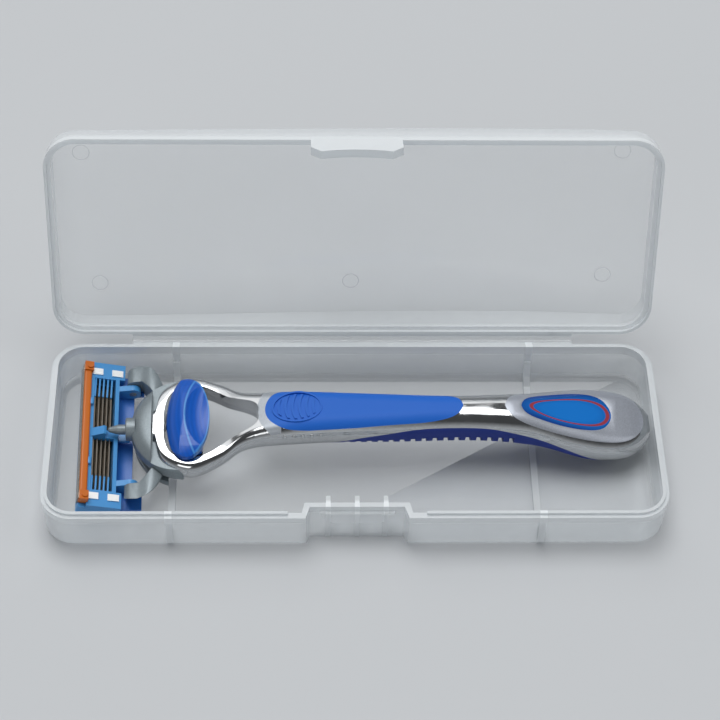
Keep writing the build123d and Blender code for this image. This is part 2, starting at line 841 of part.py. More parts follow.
# White metal band round one end of the cartridge, its two tails folded on the rear
def end_clip(side):
    v0 = side * clip_offset - clip_width / 2
    v1 = side * clip_offset + clip_width / 2
    t = clip_thickness
    left = clip_left
    right = clip_right
    band_part = box_between(left, right, v0, v1, -frame_depth - t, -frame_depth)
    band_part += box_between(left, left + t, v0, v1, -frame_depth - t, t)
    band_part += box_between(right - t, right, v0, v1, -frame_depth - t, t)
    band_part += box_between(left, left + tail_length, v0, v1, 0, t)
    band_part += box_between(right - tail_length, right, v0, v1, 0, t)
    return band_part


# Orange strip along the cartridge's back edge that holds the trimmer blade
def trimmer_holder(clips):
    half = cartridge_length / 2 - 0.9
    strip = box_between(trimmer_left, trimmer_right, -half + 0.3, half - 0.3, -1.2, trimmer_height)
    strip = fillet(strip.edges().filter_by(Axis.Y).group_by(Axis.Z)[-1], 0.5)
    for side in (-1, 1):
        y0, y1 = sorted((side * (half - 2.6), side * half))
        cap = box_between(trimmer_left, trimmer_right + 0.3, y0, y1, 0, trimmer_height + 0.5)
        pin = Pos(-3.9, side * (half - 1.3), trimmer_height + 0.5) * Cylinder(0.8, 0.8)
        strip += cap + pin
    for clip in clips:
        strip -= clip
    return strip


def trimmer_blade():
    return box_between(trimmer_left - 0.3, trimmer_left, -20.2, 20.2, -2.4, 0.6)


def lubricating_strip():
    half = clip_offset - clip_width / 2 - fit_gap
    return box_between(-4.9, -2.7, -half, half, -frame_depth - 0.8, -frame_depth)


# Blue flange under the arms, drawn in the razor's frame
def guard_base(frame, clips):
    outline = make_face([
        Spline((-62.0, 4.7), (-60.6, 4.0), (-57.6, 3.95), (guard_right, 4.3)),
        Line((guard_right, 4.3), (guard_right, 5.0)),
        Spline((guard_right, 5.0), (-57.6, 4.75), (-59.6, 4.9), (-61.2, 5.8)),
        Line((-61.2, 5.8), (-62.0, 4.7)),
    ])
    flange = extrude(Plane.XZ * outline, guard_length / 2, both=True) - seat(frame_block())
    flange -= box_between(guard_middle, -50, -guard_notch, guard_notch, 0, 10)
    flange -= frame
    for clip in clips:
        flange -= seat(clip)
    return flange


# Soft fins on the underside of the flange
def guard_fins(base, clips):
    half = guard_length / 2 - 1.5
    fins = box_between(-61.2, -57.6, -half, half, 3.75, 4.3)
    for i in range(4):
        x = -60.9 + i
        fins += box_between(x - 0.2, x + 0.2, -half, half, 3.5, 3.8)
    for clip in clips:
        fins -= seat(clip)
    return fins - base - seat(frame_block())


def cartridge_parts():
    us = [blade_first + i * blade_pitch for i in range(blade_count)]
    supports = [blade_support(u) for u in us]
    clips = [end_clip(1), end_clip(-1)]
    parts = {"cartridge_frame": cartridge_frame(supports, clips)}
    parts["guard_base"] = guard_base(parts["cartridge_frame"], clips)
    parts["guard_fins"] = guard_fins(parts["guard_base"], clips)
    for i, u in enumerate(us):
        parts[f"blade_{i + 1}"] = seat(blade(u))
        parts[f"blade_support_{i + 1}"] = seat(supports[i])
    parts["far_clip"] = seat(clips[0])
    parts["near_clip"] = seat(clips[1])
    parts["trimmer_holder"] = seat(trimmer_holder(clips))
    parts["trimmer_blade"] = seat(trimmer_blade())
    parts["lubricating_strip"] = seat(lubricating_strip())
    return parts


def razor_parts():
    body, grip, surround, rear_grip, bezel, lens = handle_pieces()
    dome = head_shell(body)
    body -= bore()
    parts = {
        "handle_frame": body,
        "front_grip": grip,
        "grip_surround": surround,
        "rear_grip": rear_grip,
        "tail_bezel": bezel,
        "tail_lens": lens,
        "head_shell": dome,
        "docking_nose": docking_nose(),
        "eject_button": eject_button(),
        "ejector_slider": ejector_slider(),
        "button_spring": coil(loop_inner + 0.05, pocket_end, 1.15, 5),
        "plunger_bush": plunger_bush(dome),
        "plunger": plunger(),
        "plunger_spring": coil(plunger_back + 0.05, chamber_end, 1.0, 4),
        "yoke": yoke(),
    }
    parts.update(cartridge_parts())
    return parts


def main():
    os.makedirs("parts", exist_ok=True)
    nodes = {"base_tray": base_tray(), "lid": lid(), "hinge_web": hinge_web()}
    for name, shape in razor_parts().items():
        nodes[name] = stow(shape)
    for name, shape in nodes.items():
        export_step(shape, f"parts/{name}.step")


main()
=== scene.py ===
import json
import math

import bpy
from mathutils import Matrix, Vector

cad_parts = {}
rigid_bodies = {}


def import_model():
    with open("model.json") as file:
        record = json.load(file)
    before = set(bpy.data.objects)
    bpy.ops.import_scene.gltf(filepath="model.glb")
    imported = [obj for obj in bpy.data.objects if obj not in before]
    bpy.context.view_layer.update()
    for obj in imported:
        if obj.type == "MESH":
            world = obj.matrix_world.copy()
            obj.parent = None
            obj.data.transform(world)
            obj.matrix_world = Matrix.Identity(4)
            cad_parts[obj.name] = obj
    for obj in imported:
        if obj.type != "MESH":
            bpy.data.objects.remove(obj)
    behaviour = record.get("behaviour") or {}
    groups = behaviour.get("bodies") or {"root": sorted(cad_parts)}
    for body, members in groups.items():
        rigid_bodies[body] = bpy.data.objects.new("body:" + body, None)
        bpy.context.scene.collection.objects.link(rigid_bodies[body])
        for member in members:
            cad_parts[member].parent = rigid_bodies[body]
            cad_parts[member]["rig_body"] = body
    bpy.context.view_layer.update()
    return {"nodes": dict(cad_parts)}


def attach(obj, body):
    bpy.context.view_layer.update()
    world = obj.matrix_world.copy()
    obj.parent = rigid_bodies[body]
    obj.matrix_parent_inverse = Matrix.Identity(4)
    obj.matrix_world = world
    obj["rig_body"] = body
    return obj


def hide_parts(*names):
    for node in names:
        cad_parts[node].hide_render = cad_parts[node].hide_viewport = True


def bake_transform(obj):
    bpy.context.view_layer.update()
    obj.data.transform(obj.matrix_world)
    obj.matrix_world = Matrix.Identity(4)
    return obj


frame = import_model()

bl_info = {
    "name": "Shaver storage box",
    "version": (1, 0, 0),
    "blender": (4, 5, 0),
    "location": "3D View > Sidebar > Shaver Box",
    "description": "Dresses the clear storage box and the wet razor that is stowed in it",
    "category": "Object",
}

MM = 0.001

# Lengths below are in millimetres. The cartridge, the button and the lens have their places in
# the razor's own frame.

# Where the hinge film runs, and how far the lid stands open at rest
HINGE_Y = 29.85
HINGE_Z = 12.6
LID_ANGLE = math.radians(108.7)

# Where the tray is thick: its rim, its cross ribs, and the gussets and catch pad at the latch
RIM_Z = 12.6
RIB_X = 46.5
LATCH_X = 0.3
GUSSET_PITCH = 7.2
PAD_Z = 8.45

# How the razor lies in the tray
RAZOR_YAW = math.radians(1.12)
RAZOR_ROLL = math.radians(5.0)
RAZOR_OFFSET = 2.9

# How the cartridge sits on the razor
CARTRIDGE_X = -64.7
CARTRIDGE_Z = 9.6
CARTRIDGE_TILT = math.radians(15.0)
CARTRIDGE_TURN = (RAZOR_ROLL, CARTRIDGE_TILT, RAZOR_YAW)

# The button: its middle, the half axes of the oval round it, and the arc of its crest
BUTTON_X = -42.6
BUTTON_Z = 17
BUTTON_OVAL = (5.7, 11.8)
ARC_CENTRE_X = -18.6
CREST_RADIUS = 24.6

# The middle of the lens in the tail
LENS_PLACE = (55.0, 0.4, 16)

# Points of a CAD mesh closer than this are merged, faces flatter than the first angle become
# one, and edges sharper than the second are softened
WELD = 0.002
FLAT_ANGLE = math.radians(0.6)
EDGE_ANGLE = math.radians(38)

# Where the camera stands
CAMERA_PLACE = (-13.42, -335.77, 440.46)

# What the lamps point at, in metres
TARGET = Vector((0, 0.01, 0.01))


def linear(text):
    """Linear colour of an sRGB hex value."""
    parts = [int(text[i:i + 2], 16) / 255 for i in (1, 3, 5)]
    return tuple(c / 12.92 if c <= 0.04045 else ((c + 0.055) / 1.055) ** 2.4 for c in parts)


def in_razor(x, y, z):
    """Point of the razor's own frame, in millimetres, as a place in the part in metres."""
    turn = Matrix.Rotation(RAZOR_YAW, 4, "Z") @ Matrix.Rotation(RAZOR_ROLL, 4, "X")
    return (Vector((0, RAZOR_OFFSET, 0)) + turn @ Vector((x, y, z))) * MM


def on_cartridge(u, v, w):
    """Point of the tilted cartridge, in millimetres, as a place in the part in metres."""
    x = CARTRIDGE_X + u * math.cos(CARTRIDGE_TILT) + w * math.sin(CARTRIDGE_TILT)
    z = CARTRIDGE_Z - u * math.sin(CARTRIDGE_TILT) + w * math.cos(CARTRIDGE_TILT)
    return in_razor(x, v, z)


def on_open_lid(x, y, z):
    """Point of the closed lid, in millimetres, carried to where the lid stands open, in metres."""
    hinge = Vector((0, HINGE_Y, HINGE_Z))
    turned = Matrix.Rotation(-LID_ANGLE, 4, "X") @ (Vector((x, y, z)) - hinge)
    return (hinge + turned) * MM


def aimed_from(place):
    """Turn that points a lamp at the part."""
    return (TARGET - Vector(place)).to_track_quat("-Z", "Y").to_euler()


class ShaverBoxSizes(bpy.types.PropertyGroup):
    """Sizes of the pieces that are made here."""

    film_length: bpy.props.FloatProperty(
        name="Film length", description="Length of the hinge film along the box",
        default=0.116, unit="LENGTH")
    film_thickness: bpy.props.FloatProperty(
        name="Film thickness", description="Thickness of the hinge film",
        default=0.00035, unit="LENGTH")
    witness_radius: bpy.props.FloatProperty(
        name="Witness ring radius", description="Radius of the rings that ejector pins leave in the lid",
        default=0.0021, unit="LENGTH")
    witness_height: bpy.props.FloatProperty(
        name="Witness ring height", description="How thick the line of each witness ring is",
        default=0.00022, unit="LENGTH")
    gate_width: bpy.props.FloatProperty(
        name="Gate mark width", description="Width of the two pale marks on the hinge strip",
        default=0.0014, unit="LENGTH")
    stud_radius: bpy.props.FloatProperty(
        name="Grip stud radius", description="Radius of the small studs on the side of the handle's stem",
        default=0.0009, unit="LENGTH")


class ShaverBoxColours(bpy.types.PropertyGroup):
    """Colours of the box and the razor."""

    polypropylene: bpy.props.FloatVectorProperty(
        name="Box", description="Natural translucent polypropylene",
        subtype="COLOR", size=3, default=linear("#EEF3F6"))
    elastomer: bpy.props.FloatVectorProperty(
        name="Front grip", description="Blue elastomer of the front grip",
        subtype="COLOR", size=3, default=linear("#0A64CC"))
    under_elastomer: bpy.props.FloatVectorProperty(
        name="Rear grip", description="Darker elastomer under the handle",
        subtype="COLOR", size=3, default=linear("#0C2C86"))
    button: bpy.props.FloatVectorProperty(
        name="Button", description="Blue of the release button",
        subtype="COLOR", size=3, default=linear("#0A58BE"))
    cartridge: bpy.props.FloatVectorProperty(
        name="Cartridge", description="Light blue of the cartridge's frame",
        subtype="COLOR", size=3, default=linear("#4696D7"))
    trimmer: bpy.props.FloatVectorProperty(
        name="Trimmer holder", description="Orange of the strip that holds the trimmer blade",
        subtype="COLOR", size=3, default=linear("#CC6A12"))
    satin_grey: bpy.props.FloatVectorProperty(
        name="Head", description="Grey of the head, the yoke and the plunger",
        subtype="COLOR", size=3, default=linear("#879196"))
    lens: bpy.props.FloatVectorProperty(
        name="Tail lens", description="Blue of the domed lens in the tail",
        subtype="COLOR", size=3, default=linear("#0F78D2"))
    floor: bpy.props.FloatVectorProperty(
        name="Floor", description="Pale paper that the box stands on",
        subtype="COLOR", size=3, default=linear("#CBCED1"))


def add_node(tree, kind, links=None, **settings):
    """Adds one node with its settings; links gives the source of each named or numbered input."""
    node = tree.nodes.new(kind)
    for name, value in settings.items():
        if name.startswith("in_"):
            key = name[3:].replace("_", " ")
            key = int(key) if key.isdigit() else key
            node.inputs[key].default_value = value
        else:
            setattr(node, name, value)
    for key, source in (links or {}).items():
        tree.links.new(source, node.inputs[key])
    return node


def new_material(name):
    """New material, its node tree and its shader node."""
    made = bpy.data.materials.new(name)
    made.use_nodes = True
    tree = made.node_tree
    shader = next(n for n in tree.nodes if n.type == "BSDF_PRINCIPLED")
    return made, tree, shader


def fine_bump(tree, shader, grain_mm, depth_mm, strength):
    """Moulded or etched skin: noise of a real grain size turned into a bump."""
    place = add_node(tree, "ShaderNodeTexCoord")
    noise = add_node(tree, "ShaderNodeTexNoise", {"Vector": place.outputs["Object"]},
                     in_Scale=1 / (grain_mm * MM), in_Detail=2.0, in_Roughness=0.55)
    bump = add_node(tree, "ShaderNodeBump", {"Height": noise.outputs["Fac"]},
                    in_Strength=strength, in_Distance=depth_mm * MM)
    tree.links.new(bump.outputs["Normal"], shader.inputs["Normal"])
    return place


def band(tree, value, centre, half, gain):
    """Gain inside a band of the given half width, nothing outside it, and a short fade."""
    fade = 0.12 * MM
    off = add_node(tree, "ShaderNodeMath", {0: value}, operation="SUBTRACT", in_1=centre)
    gap = add_node(tree, "ShaderNodeMath", {0: off.outputs["Value"]}, operation="ABSOLUTE")
    return add_node(tree, "ShaderNodeMapRange", {"Value": gap.outputs["Value"]},
                    in_From_Min=half - fade, in_From_Max=half + fade, in_To_Min=gain, in_To_Max=0.0)


def flat_distance(tree, place, centre, turn=0.0, scale=(1, 1, 1)):
    """Distance in plan from a centre, along turned axes and in units of the scale."""
    local = add_node(tree, "ShaderNodeMapping", {"Vector": place.outputs["Object"]},
                     vector_type="TEXTURE")
    local.inputs["Location"].default_value = centre
    local.inputs["Rotation"].default_value = (0, 0, turn)
    local.inputs["Scale"].default_value = scale
    flat = add_node(tree, "ShaderNodeVectorMath", {0: local.outputs["Vector"]}, operation="MULTIPLY")
    flat.inputs[1].default_value = (1, 1, 0)
    return add_node(tree, "ShaderNodeVectorMath", {0: flat.outputs["Vector"]}, operation="LENGTH")


def translucent_polypropylene(name, colours, origin, turn, rim_height, rib_x=0.0):
    """Natural polypropylene, injection moulded in a polished tool. Thin walls let most light
    through, and the material looks milkier along a wall and wherever it is thick. The origin and
    the turn are those of the moulding, whose open side faces its own +Z."""
    made, tree, shader = new_material(name)
    place = add_node(tree, "ShaderNodeTexCoord")
    # Flow marks of the moulding, about 14 mm apart
    flow = add_node(tree, "ShaderNodeTexNoise", {"Vector": place.outputs["Object"]},
                    in_Scale=1 / (14 * MM), in_Detail=3.0, in_Distortion=0.8)
    cloud = add_node(tree, "ShaderNodeMapRange", {"Value": flow.outputs["Fac"]},
                     in_To_Min=0.92, in_To_Max=1.08)
    facing = add_node(tree, "ShaderNodeLayerWeight", in_Blend=0.35)
    body = add_node(tree, "ShaderNodeMapRange", {"Value": facing.outputs["Facing"]},
                    in_From_Min=0.10, in_From_Max=0.85, in_To_Min=0.16, in_To_Max=0.92)
    milk = add_node(tree, "ShaderNodeMath", {0: body.outputs["Result"], 1: cloud.outputs["Result"]},
                    operation="MULTIPLY")
    # The rim and the cross ribs are thicker than the walls, so they hold more milk
    local = add_node(tree, "ShaderNodeMapping", {"Vector": place.outputs["Object"]},
                     vector_type="TEXTURE")
    local.inputs["Location"].default_value = origin
    local.inputs["Rotation"].default_value = (turn, 0, 0)
    axes = add_node(tree, "ShaderNodeSeparateXYZ", {"Vector": local.outputs["Vector"]})
    rim = add_node(tree, "ShaderNodeMapRange", {"Value": axes.outputs["Z"]},
                   in_From_Min=rim_height - 2.6 * MM, in_From_Max=rim_height - 1.4 * MM,
                   in_To_Min=0.0, in_To_Max=0.45)
    thick = [rim]
    if rib_x:
        rib_half, gusset_half, pad_half_x, pad_half_z = 0.9 * MM, 0.62 * MM, 6.8 * MM, 2.35 * MM
        across = add_node(tree, "ShaderNodeMath", {0: axes.outputs["X"]}, operation="ABSOLUTE")
        thick.append(band(tree, across.outputs["Value"], rib_x, rib_half, 0.38))
        # The three gussets and the catch pad behind the latch show through the front wall
        front = add_node(tree, "ShaderNodeMapRange", {"Value": axes.outputs["Y"]},
                         in_From_Min=-23.5 * MM, in_From_Max=-22.5 * MM, in_To_Min=1.0, in_To_Max=0.0)
        gussets = [band(tree, axes.outputs["X"], (LATCH_X + x) * MM, gusset_half, 0.34)
                   for x in (-GUSSET_PITCH, 0.0, GUSSET_PITCH)]
        pad_x = band(tree, axes.outputs["X"], LATCH_X * MM, pad_half_x, 0.26)
        pad_z = band(tree, axes.outputs["Z"], PAD_Z * MM, pad_half_z, 1.0)
        pad = add_node(tree, "ShaderNodeMath",
                       {0: pad_x.outputs["Result"], 1: pad_z.outputs["Result"]}, operation="MULTIPLY")
        for part in (*gussets, pad):
            thick.append(add_node(tree, "ShaderNodeMath",
                                  {0: part.outputs[0], 1: front.outputs["Result"]}, operation="MULTIPLY"))
    for part in thick:
        milk = add_node(tree, "ShaderNodeMath", {0: milk.outputs["Value"], 1: part.outputs[0]},
                        operation="ADD")
    full = add_node(tree, "ShaderNodeMath", {0: milk.outputs["Value"]}, operation="MINIMUM", in_1=0.97)
    tree.links.new(full.outputs["Value"], shader.inputs["Alpha"])
    # Handling scratches, stretched along the box, under a millimetre apart
    stretch = add_node(tree, "ShaderNodeMapping", {"Vector": place.outputs["Object"]})
    stretch.inputs["Scale"].default_value = (0.06, 1.0, 1.0)
    stretch.inputs["Rotation"].default_value = (0, 0, math.radians(24))
    scratch = add_node(tree, "ShaderNodeTexNoise", {"Vector": stretch.outputs["Vector"]},
                       in_Scale=1 / (0.9 * MM), in_Detail=4.0)
    lines = add_node(tree, "ShaderNodeMapRange", {"Value": scratch.outputs["Fac"]},
                     in_From_Min=0.62, in_From_Max=0.75, in_To_Min=0.0, in_To_Max=1.0)
    wear = add_node(tree, "ShaderNodeMapRange", {"Value": lines.outputs["Result"]},
                    in_To_Min=0.12, in_To_Max=0.30)
    tree.links.new(wear.outputs["Result"], shader.inputs["Roughness"])
    bump = add_node(tree, "ShaderNodeBump", {"Height": flow.outputs["Fac"]},
                    in_Strength=0.10, in_Distance=0.2 * MM)
    tree.links.new(bump.outputs["Normal"], shader.inputs["Normal"])
    shader.inputs["Base Color"].default_value = (*colours.polypropylene, 1)
    shader.inputs["IOR"].default_value = 1.49
    shader.inputs["Coat Weight"].default_value = 0.5
    shader.inputs["Coat Roughness"].default_value = 0.05
    return made


def polished_chrome():
    """Bright chrome plate over a polished casting: a mirror with a faint ripple and, from
    handling, a thin film."""
    made, tree, shader = new_material("Chrome plate, polished")
    place = fine_bump(tree, shader, 9.0, 0.08, 0.10)
    # The film is cloudy at about 5 mm
    film = add_node(tree, "ShaderNodeTexNoise", {"Vector": place.outputs["Object"]},
                    in_Scale=1 / (5 * MM), in_Detail=3.0)
    haze = add_node(tree, "ShaderNodeMapRange", {"Value": film.outputs["Fac"]},
                    in_From_Min=0.35, in_From_Max=0.70, in_To_Min=0.05, in_To_Max=0.16)
    tree.links.new(haze.outputs["Result"], shader.inputs["Roughness"])
    shader.inputs["Base Color"].default_value = (*linear("#C4C6C8"), 1)
    shader.inputs["Metallic"].default_value = 1.0
    return made


def soft_elastomer(name, colour):
    """Thermoplastic elastomer moulded over the handle: satin, with an etched skin."""
    made, tree, shader = new_material(name)
    # The etched skin is finer than this; it is drawn at 0.35 mm so that it shows
    fine_bump(tree, shader, 0.35, 0.02, 0.35)
    shader.inputs["Base Color"].default_value = (*colour, 1)
    shader.inputs["Roughness"].default_value = 0.58
    shader.inputs["IOR"].default_value = 1.45
    return made


def moulded_plastic(name, colour, roughness, grain_mm=0.3, strength=0.18):
    """Moulded ABS or polystyrene, with the fine grain of an eroded tool."""
    made, tree, shader = new_material(name)
    fine_bump(tree, shader, grain_mm, 0.015, strength)
    shader.inputs["Base Color"].default_value = (*colour, 1)
    shader.inputs["Roughness"].default_value = roughness
    shader.inputs["IOR"].default_value = 1.54
    return made


def turned_button(colours):
    """Polyacetal button. Its hollow face carries faint arcs, like a turned mould insert. The
    crest between its two faces and the far edge of the hollow one are painted a lighter blue as a
    highlight."""
    made, tree, shader = new_material("Polyacetal button, semi-gloss")
    place = add_node(tree, "ShaderNodeTexCoord")
    reach = flat_distance(tree, place, in_razor(ARC_CENTRE_X, 0, BUTTON_Z))
    # Arcs 1.1 mm apart
    turns = add_node(tree, "ShaderNodeMath", {0: reach.outputs["Value"]}, operation="MULTIPLY",
                     in_1=2 * math.pi / (1.1 * MM))
    wave = add_node(tree, "ShaderNodeMath", {0: turns.outputs["Value"]}, operation="SINE")
    grain = add_node(tree, "ShaderNodeTexNoise", {"Vector": place.outputs["Object"]},
                     in_Scale=1 / (2.5 * MM), in_Detail=3.0)
    worn = add_node(tree, "ShaderNodeMath", {0: wave.outputs["Value"], 1: grain.outputs["Fac"]},
                    operation="MULTIPLY")
    bump = add_node(tree, "ShaderNodeBump", {"Height": worn.outputs["Value"]},
                    in_Strength=0.08, in_Distance=0.03 * MM)
    tree.links.new(bump.outputs["Normal"], shader.inputs["Normal"])
    tint = add_node(tree, "ShaderNodeMapRange", {"Value": worn.outputs["Value"]},
                    in_From_Min=-0.5, in_From_Max=0.6, in_To_Min=0.95, in_To_Max=1.08)
    # Painted highlight along the crest: a lighter line half a millimetre wide
    away = add_node(tree, "ShaderNodeMath", {0: reach.outputs["Value"]}, operation="SUBTRACT",
                    in_1=CREST_RADIUS * MM)
    near = add_node(tree, "ShaderNodeMath", {0: away.outputs["Value"]}, operation="ABSOLUTE")
    crest = add_node(tree, "ShaderNodeMapRange", {"Value": near.outputs["Value"]},
                     in_From_Min=0.10 * MM, in_From_Max=0.34 * MM, in_To_Min=1.0, in_To_Max=0.0)
    # Painted highlight along the far edge of the hollow face: a narrow lighter rim, on an oval round the
    # button
    half_x, half_y = BUTTON_OVAL
    oval = flat_distance(tree, place, in_razor(BUTTON_X, 0, BUTTON_Z), RAZOR_YAW,
                         (half_x * MM, half_y * MM, 1))
    edge = add_node(tree, "ShaderNodeMapRange", {"Value": oval.outputs["Value"]},
                    in_From_Min=0.93, in_From_Max=0.96, in_To_Min=0.0, in_To_Max=0.8)
    hollow = add_node(tree, "ShaderNodeMapRange", {"Value": reach.outputs["Value"]},
                      in_From_Min=(CREST_RADIUS - 0.6) * MM, in_From_Max=(CREST_RADIUS - 0.1) * MM,
                      in_To_Min=1.0, in_To_Max=0.0)
    rim = add_node(tree, "ShaderNodeMath", {0: edge.outputs["Result"], 1: hollow.outputs["Result"]},
                   operation="MULTIPLY")
    # The stronger of the two painted highlights at each point
    painted_highlight = add_node(tree, "ShaderNodeMath", {0: crest.outputs["Result"], 1: rim.outputs["Value"]},
                   operation="MAXIMUM")
    shade = add_node(tree, "ShaderNodeVectorMath", {1: tint.outputs["Result"]}, operation="MULTIPLY")
    shade.inputs[0].default_value = colours.button
    paint = add_node(tree, "ShaderNodeMix", {0: painted_highlight.outputs["Value"], 6: shade.outputs["Vector"]},
                     data_type="RGBA")
    # Lighter blue of the painted highlight
    paint.inputs[7].default_value = (*linear("#4C93DC"), 1)
    tree.links.new(paint.outputs[2], shader.inputs["Base Color"])
    shader.inputs["Roughness"].default_value = 0.28
    shader.inputs["IOR"].default_value = 1.48
    return made


def metallic_plastic(name, colour, roughness):
    """Plastic with aluminium flake: it brightens towards the light without a mirror."""
    made, tree, shader = new_material(name)
    place = add_node(tree, "ShaderNodeTexCoord")
    # Flakes of about a tenth of a millimetre, drawn at 0.25 mm
    flake = add_node(tree, "ShaderNodeTexNoise", {"Vector": place.outputs["Object"]},
                     in_Scale=1 / (0.25 * MM), in_Detail=1.0)
    tint = add_node(tree, "ShaderNodeMapRange", {"Value": flake.outputs["Fac"]},
                    in_From_Min=0.35, in_From_Max=0.65, in_To_Min=0.90, in_To_Max=1.10)
    shade = add_node(tree, "ShaderNodeVectorMath", {1: tint.outputs["Result"]}, operation="MULTIPLY")
    shade.inputs[0].default_value = colour
    tree.links.new(shade.outputs["Vector"], shader.inputs["Base Color"])
    shader.inputs["Metallic"].default_value = 0.35
    shader.inputs["Roughness"].default_value = roughness
    return made


def domed_lens(colours):
    """Clear-coated blue acrylic with the thin red line that runs round inside its edge."""
    made, tree, shader = new_material("Acrylic lens, clear coated")
    place = add_node(tree, "ShaderNodeTexCoord")
    local = add_node(tree, "ShaderNodeMapping", {"Vector": place.outputs["Object"]},
                     vector_type="TEXTURE")
    local.inputs["Location"].default_value = in_razor(*LENS_PLACE)
    local.inputs["Rotation"].default_value = (0, 0, RAZOR_YAW)
    axes = add_node(tree, "ShaderNodeSeparateXYZ", {"Vector": local.outputs["Vector"]})
    # The line is an egg, 20 mm long, that gets fuller towards the tail
    half_length, slim_half, full_half, reach = 10.0 * MM, 2.7 * MM, 5.2 * MM, 9 * MM
    swell = add_node(tree, "ShaderNodeMapRange", {"Value": axes.outputs["X"]},
                     in_From_Min=-reach, in_From_Max=reach,
                     in_To_Min=1 / slim_half, in_To_Max=1 / full_half)
    across = add_node(tree, "ShaderNodeMath", {0: axes.outputs["Y"], 1: swell.outputs["Result"]},
                      operation="MULTIPLY")
    along = add_node(tree, "ShaderNodeMath", {0: axes.outputs["X"]}, operation="MULTIPLY",
                     in_1=1 / half_length)
    squares = [add_node(tree, "ShaderNodeMath", {0: part.outputs["Value"], 1: part.outputs["Value"]},
                        operation="MULTIPLY") for part in (across, along)]
    total = add_node(tree, "ShaderNodeMath",
                     {0: squares[0].outputs["Value"], 1: squares[1].outputs["Value"]}, operation="ADD")
    ring = add_node(tree, "ShaderNodeMath", {0: total.outputs["Value"]}, operation="SUBTRACT",
                    in_1=1.0)
    near = add_node(tree, "ShaderNodeMath", {0: ring.outputs["Value"]}, operation="ABSOLUTE")
    line = add_node(tree, "ShaderNodeMapRange", {"Value": near.outputs["Value"]},
                    in_From_Min=0.07, in_From_Max=0.13, in_To_Min=1.0, in_To_Max=0.0)
    # The colour deepens outside the line, towards the lens's edge
    depth = add_node(tree, "ShaderNodeMapRange", {"Value": total.outputs["Value"]},
                     in_From_Min=0.5, in_From_Max=1.9, in_To_Min=0.0, in_To_Max=1.0)
    body = add_node(tree, "ShaderNodeMix", {0: depth.outputs["Result"]}, data_type="RGBA")
    body.inputs[6].default_value = (*colours.lens, 1)
    body.inputs[7].default_value = (*linear("#0A4292"), 1)
    paint = add_node(tree, "ShaderNodeMix", {0: line.outputs["Result"], 6: body.outputs[2]},
                     data_type="RGBA")
    paint.inputs[7].default_value = (*linear("#A03C46"), 1)
    tree.links.new(paint.outputs[2], shader.inputs["Base Color"])
    shader.inputs["Roughness"].default_value = 0.18
    shader.inputs["Coat Weight"].default_value = 1.0
    shader.inputs["Coat Roughness"].default_value = 0.04
    return made


def ground_steel(name, colour, roughness):
    """Stainless strip, ground along its length."""
    made, tree, shader = new_material(name)
    place = add_node(tree, "ShaderNodeTexCoord")
    stretch = add_node(tree, "ShaderNodeMapping", {"Vector": place.outputs["Object"]})
    stretch.inputs["Scale"].default_value = (1.0, 0.02, 1.0)
    # Grinding lines, drawn a tenth of a millimetre apart
    grain = add_node(tree, "ShaderNodeTexNoise", {"Vector": stretch.outputs["Vector"]},
                     in_Scale=1 / (0.1 * MM), in_Detail=2.0)
    bump = add_node(tree, "ShaderNodeBump", {"Height": grain.outputs["Fac"]},
                    in_Strength=0.15, in_Distance=0.01 * MM)
    tree.links.new(bump.outputs["Normal"], shader.inputs["Normal"])
    shader.inputs["Base Color"].default_value = (*colour, 1)
    shader.inputs["Metallic"].default_value = 1.0
    shader.inputs["Roughness"].default_value = roughness
    return made


def deselect():
    """Leaves nothing selected, in object mode."""
    if bpy.context.object and bpy.context.object.mode != "OBJECT":
        bpy.ops.object.mode_set(mode="OBJECT")
    bpy.ops.object.select_all(action="DESELECT")


def choose(piece):
    """Makes one piece the active and only selected object."""
    deselect()
    piece.select_set(True)
    bpy.context.view_layer.objects.active = piece


def edit_all(piece):
    """Opens the piece in edit mode with all of it selected."""
    choose(piece)
    bpy.ops.object.mode_set(mode="EDIT")
    bpy.ops.mesh.select_all(action="SELECT")


def apply_modifier(piece, kind, **settings):
    """Adds one modifier with its settings and applies it."""
    choose(piece)
    modifier = piece.modifiers.new(kind.title(), kind)
    for name, value in settings.items():
        setattr(modifier, name, value)
    bpy.ops.object.modifier_apply(modifier=modifier.name)


def smooth(piece, degrees):
    """Shades the piece smooth, apart from edges sharper than the angle."""
    choose(piece)
    bpy.ops.object.shade_smooth_by_angle(angle=math.radians(degrees))


def rounded_block(size, radius):
    """Block with rounded edges at the origin; size and radius are in metres."""
    deselect()
    bpy.ops.mesh.primitive_cube_add(size=1)
    block = bpy.context.object
    edit_all(block)
    bpy.ops.transform.resize(value=size)
    bpy.ops.object.mode_set(mode="OBJECT")
    apply_modifier(block, "BEVEL", width=radius, segments=3)
    return block


def set_down(master, place, turn):
    """Copy of a master piece, turned and moved to its place in metres."""
    piece = bpy.data.objects.new("copy", master.data.copy())
    bpy.context.scene.collection.objects.link(piece)
    piece.rotation_euler = turn
    piece.location = place
    return piece


def find_skin(surface, start, direction):
    """Where a ray meets a finished piece, the normal there and the turn that faces out."""
    hit, spot, normal, _ = surface.ray_cast(start, direction)
    if not hit:
        raise RuntimeError(f"no skin of {surface.name} behind {tuple(start)}")
    return spot, normal, normal.to_track_quat("Z", "Y").to_euler()


def settle(piece, name, material, body):
    """Names a finished piece, puts its place in its mesh, paints it and hangs it on its body."""
    choose(piece)
    bpy.ops.object.transform_apply(location=True, rotation=True, scale=True)
    piece.name = name
    piece.data.name = name
    piece.data.materials.clear()
    piece.data.materials.append(material)
    if body:
        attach(piece, body)
    return piece


